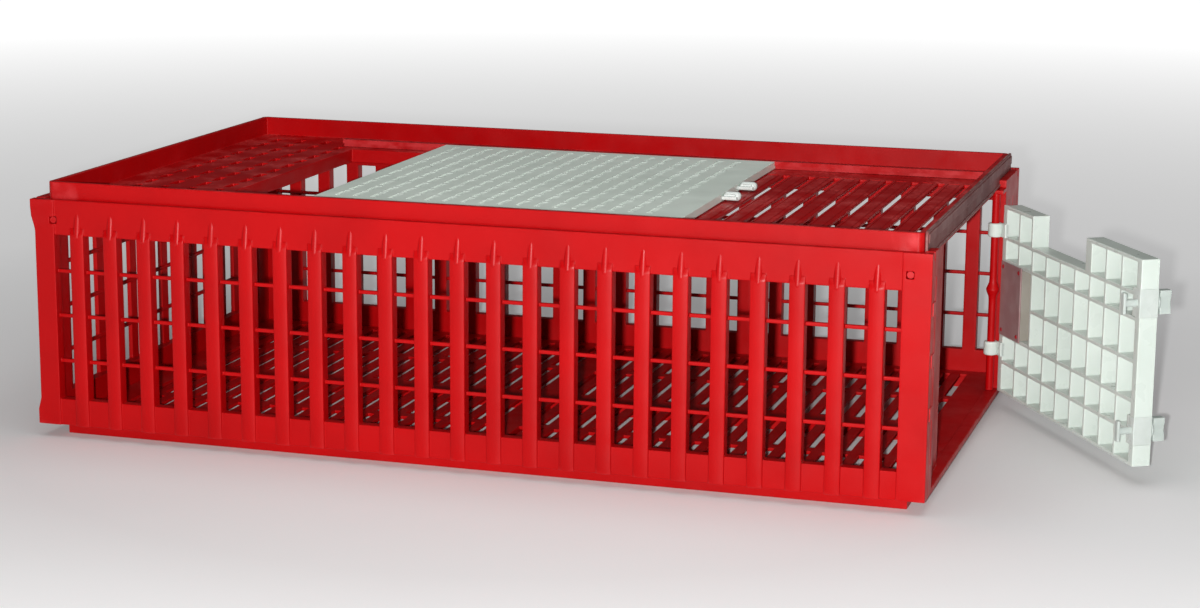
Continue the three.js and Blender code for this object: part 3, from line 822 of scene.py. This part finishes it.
HOOK_ARM_DEPTH, HOOK_ARM = (0.0052, LEAF_INNER + 0.002), (-LEAF_START - 0.010, -0.003)
BOSS_WIDTH = 0.016
BOSS_HALF_HEIGHT = 0.015
BOSS_PROUD = 0.0004


def on_leaf(points):
    return np.array([LEAF @ Vector(point) for point in points])


def bars_and_ribs():
    """Edges of the door's columns and rows, with the openings between them."""
    start = LEAF_START + LEAF_FRAME
    columns = [(start + LEAF_PITCH * n, start + LEAF_PITCH * (n + 1) - LEAF_BAR) for n in range(LEAF_COLUMNS)]
    rows = [(a + RIB_HEIGHT / 2, b - RIB_HEIGHT / 2) for a, b in zip(LEAF_RIBS, LEAF_RIBS[1:])]
    return columns, rows


def end_door():
    depth = (LEAF_INNER, LEAF_OUTER)
    through = (LEAF_INNER - GAP, LEAF_OUTER + GAP)
    adds = [
        slab(depth, (-LEAF_END, -LEAF_START), (LEAF_BOTTOM, LEAF_SHOULDER)),
        slab(depth, (-NOTCH[0], -LEAF_START), (LEAF_SHOULDER, LEAF_TOP)),
        slab(depth, (-LEAF_END, -NOTCH[1]), (LEAF_SHOULDER, LEAF_TOP)),
    ]
    columns, rows = bars_and_ribs()
    cuts = [slab(through, (-columns[0][0], -columns[PLATE_COLUMNS - 1][1]), PLATE_HEIGHT)]
    cuts.append(slab((HEEL_START, LEAF_OUTER + GAP), (-HEEL_END, GAP - LEAF_START), (0, LEAF_TOP + GAP)))
    for near, far in columns:
        for row in rows:
            cuts.append(slab(through, (-far, -near), row))
        block_end = min(far, NOTCH[0] - LEAF_BAR) if near < NOTCH[0] else far
        if near < NOTCH[0] or near > NOTCH[1]:
            cuts.append(slab(through, (-block_end, -near), (LEAF_SHOULDER, LEAF_TOP - RIB_HEIGHT)))
    grid = cell_surface(adds, cuts)
    parts = [grid]
    for level in HOOK_LEVELS:
        parts.append(tube_surface(HOOK_BORE, HOOK_RADIUS, *level, HOOK_EDGE))
        parts.append(cell_surface([slab(HOOK_ARM_DEPTH, HOOK_ARM, level)]))
    for level in LATCH_LEVELS.values():
        boss_depth = (LEAF_INNER - BOSS_PROUD, LEAF_OUTER + BOSS_PROUD / 2)
        boss_width = (-LEAF_END - BOSS_PROUD / 2, -LEAF_END + BOSS_WIDTH)
        parts.append(cell_surface([slab(boss_depth, boss_width, around(level, BOSS_HALF_HEIGHT))]))

    piece = build("grid_end_door", parts, clear, on_leaf, edge=0.0007)
    add_piece(piece, "end_door", "clear_white_plastic", "end_door")


end_door()


PLATE_SPAN = (-0.062, -0.0085)
PLATE_FACE = 0.0052
PLATE_DEPTH = 0.0108
PLATE_OVERLAP = 0.002
PLATE_STUD = 0.003
PLATE_STUD_INSET = 0.006
STUD_PROUD = 0.0014


def leaf_plate():
    """Block beside the hinge: a cover on the leaf's inner face, its body and a stud in each corner."""
    columns, _ = bars_and_ribs()
    cover_z = (PLATE_HEIGHT[0] - PLATE_OVERLAP, PLATE_HEIGHT[1] + PLATE_OVERLAP)
    body_z = (PLATE_HEIGHT[0] + GAP, PLATE_HEIGHT[1] - GAP)
    body_y = (PLATE_SPAN[0], -columns[0][0] - GAP)
    cover = cell_surface([slab((PLATE_FACE, LEAF_INNER - GAP), PLATE_SPAN, cover_z)])
    # The cover's mauve is painted shade and a painted red reflection on white plastic.
    piece = build("door_plate", [cover], painted_shade_mauve, on_leaf, edge=0.0007)
    add_piece(piece, "end_door", "clear_white_plastic", "end_door_plate")
    body = cell_surface([slab((LEAF_INNER - GAP, LEAF_INNER + PLATE_DEPTH), body_y, body_z)])
    # The body's beige is painted shade on white plastic.
    piece = build("door_plate_body", [body], painted_shade_beige, on_leaf, edge=0.0007)
    add_piece(piece, "end_door", "clear_white_plastic")
    studs = []
    for y in (PLATE_SPAN[0] + PLATE_STUD_INSET, PLATE_SPAN[1] - PLATE_STUD_INSET):
        for z in (cover_z[0] + PLATE_STUD_INSET, cover_z[1] - PLATE_STUD_INSET):
            dome = lathe_surface(capsule(PLATE_STUD, 2 * PLATE_STUD), 20)
            studs.append(turned(dome, Matrix.Translation((PLATE_FACE - STUD_PROUD, y, z)) @ ALONG_X))
    piece = build("door_plate_studs", studs, stud, on_leaf, edge=0.0002)
    add_piece(piece, "end_door", "clear_white_plastic")


leaf_plate()

WING_REACH = 0.016
WING_HALF = 0.005
WING_RISE = 0.0125
HEAD = (-0.009, -0.0053)
HEAD_HALF = 0.0035
HEAD_RISE = 0.011
WING_START = 0.0032
WING_ROWS = (-0.6, -0.35, -0.15, 0, 0.15, 0.35, 0.6)
WAIST, WAIST_SPREAD = 0.35, 0.45
SHAFT_RADIUS, SHAFT_ENDS = 0.0038, (HEAD[0] + 0.001, LEAF_OUTER + 0.006)
LATCH_COLLAR = [(0.0082, 0.0), (0.0082, 0.0022), (0.0072, 0.0034)]


def latch(name, node, level):
    """Quarter-turn latch: waisted finger wing, collar, shaft and a narrow head."""
    y = -LATCH_DISTANCE

    def place(points):
        d, side, z = points.T
        rise = (z - level) / WING_RISE
        pinch = 1 - WAIST * np.exp(-(rise / WAIST_SPREAD) ** 2)
        outside = d > LEAF_OUTER + WING_START - GAP
        side = np.where(outside, y + (side - y) * pinch, side)
        return np.array([LEAF @ Vector(point) for point in zip(d, side, z)])

    wing_d = (LEAF_OUTER + WING_START, LEAF_OUTER + WING_REACH)
    rows = [level + WING_RISE * share for share in WING_ROWS]
    wing = cell_surface([slab(wing_d, around(y, WING_HALF), around(level, WING_RISE))], (), ((), (), rows))
    head = cell_surface([slab(HEAD, around(y, HEAD_HALF), around(level, HEAD_RISE))])
    shaft = lathe_surface([(SHAFT_RADIUS, end) for end in SHAFT_ENDS])
    collar = lathe_surface(LATCH_COLLAR)
    shaft = turned(shaft, Matrix.Translation((0, y, level)) @ ALONG_X)
    collar = turned(collar, Matrix.Translation((LEAF_OUTER + GAP, y, level)) @ ALONG_X)
    piece = build(name, [wing, head, shaft, collar], grey, place, edge=0.0012, segments=3)
    add_piece(piece, f"end_latch_{node.split('_')[-1]}", "white_plastic", node)


for latch_name, latch_level in LATCH_LEVELS.items():
    latch(f"door_latch_{latch_name}", f"end_door_latch_{latch_name}", latch_level)


# ---- Floor, world and light ---------------------------------------------------------------------

FLOOR_HALF, FLOOR_DROP = 14.0, 0.0005
FLASH_LEFT = 0.05
FLASH_DOWN = 0.025
FLASH_SIZE = 0.035
FLASH_POWER = 84.0
TOP_PLACE, TOP_TARGET = (0.2, -0.4, 2.4), (0.1, 0, 0)
TOP_SIZE, TOP_POWER = 3.0, 24.0
WORLD_STRENGTH = 0.05


def stage_floor():
    """A matt pale floor that glows, not under the crate and more and more away from it: painted light that
    fades it to a light studio background.
    """
    material, shader, add, link = new_material("studio_floor")
    place = add("ShaderNodeTexCoord").outputs["Object"]
    tone = mixed(add, noise(add, place, 3.0, 3.0), rgba((0.90, 0.90, 0.90)), rgba((0.87, 0.87, 0.87)))
    link(tone, shader.inputs["Base Color"])
    link(spread(add, noise(add, place, 20.0), 0.3, 0.7, 0.75, 0.85), shader.inputs["Roughness"])
    shader.inputs["Specular IOR Level"].default_value = 0.1
    shader.inputs["Emission Color"].default_value = (1, 1, 1, 1)
    # Painted glow: the floor emits white light, none near the crate and more with distance from it.
    distance = add("ShaderNodeVectorMath", {"operation": "LENGTH"}, i0=place).outputs["Value"]
    near = spread(add, distance, 0.62, 1.3, 0.0, 0.27)
    far = spread(add, distance, 1.3, 4.5, 0.0, 0.70)
    painted_glow = add("ShaderNodeMath", {"operation": "ADD"}, i0=near, i1=far).outputs[0]
    link(painted_glow, shader.inputs["Emission Strength"])
    points = [(-FLOOR_HALF, -FLOOR_HALF, 0), (FLOOR_HALF, -FLOOR_HALF, 0)]
    points += [(FLOOR_HALF, FLOOR_HALF, 0), (-FLOOR_HALF, FLOOR_HALF, 0)]
    data = bpy.data.meshes.new("studio_floor")
    data.from_pydata(points, [], [(0, 1, 2, 3)])
    data.materials.append(material)
    floor = bpy.data.objects.new("studio_floor", data)
    floor.location.z = -FLOOR_DROP
    bpy.context.collection.objects.link(floor)


def area_light(name, place, target, size, power):
    data = bpy.data.lights.new(name, "AREA")
    data.shape = "DISK"
    data.size = size
    data.energy = power
    light = bpy.data.objects.new(name, data)
    bpy.context.collection.objects.link(light)
    aim = (Vector(target) - Vector(place)).to_track_quat("-Z", "Y")
    light.matrix_world = Matrix.LocRotScale(Vector(place), aim, None)


def light_scene():
    """A small flash beside the lens, a wide dim softbox overhead and a faint white world."""
    right, up, _ = camera_axes()
    flash = Vector(CAMERA_PLACE) - right * FLASH_LEFT - up * FLASH_DOWN
    middle = (cad_bounds[0] + cad_bounds[1]) / 2
    area_light("flash", flash, middle, FLASH_SIZE, FLASH_POWER)
    area_light("top_softbox", TOP_PLACE, TOP_TARGET, TOP_SIZE, TOP_POWER)
    world = bpy.data.worlds.new("studio")
    world.use_nodes = True
    background = world.node_tree.nodes["Background"]
    background.inputs["Color"].default_value = (1.0, 1.0, 1.0, 1.0)
    background.inputs["Strength"].default_value = WORLD_STRENGTH
    bpy.context.scene.world = world


stage_floor()
light_scene()
bpy.context.scene.view_settings.view_transform = "Standard"
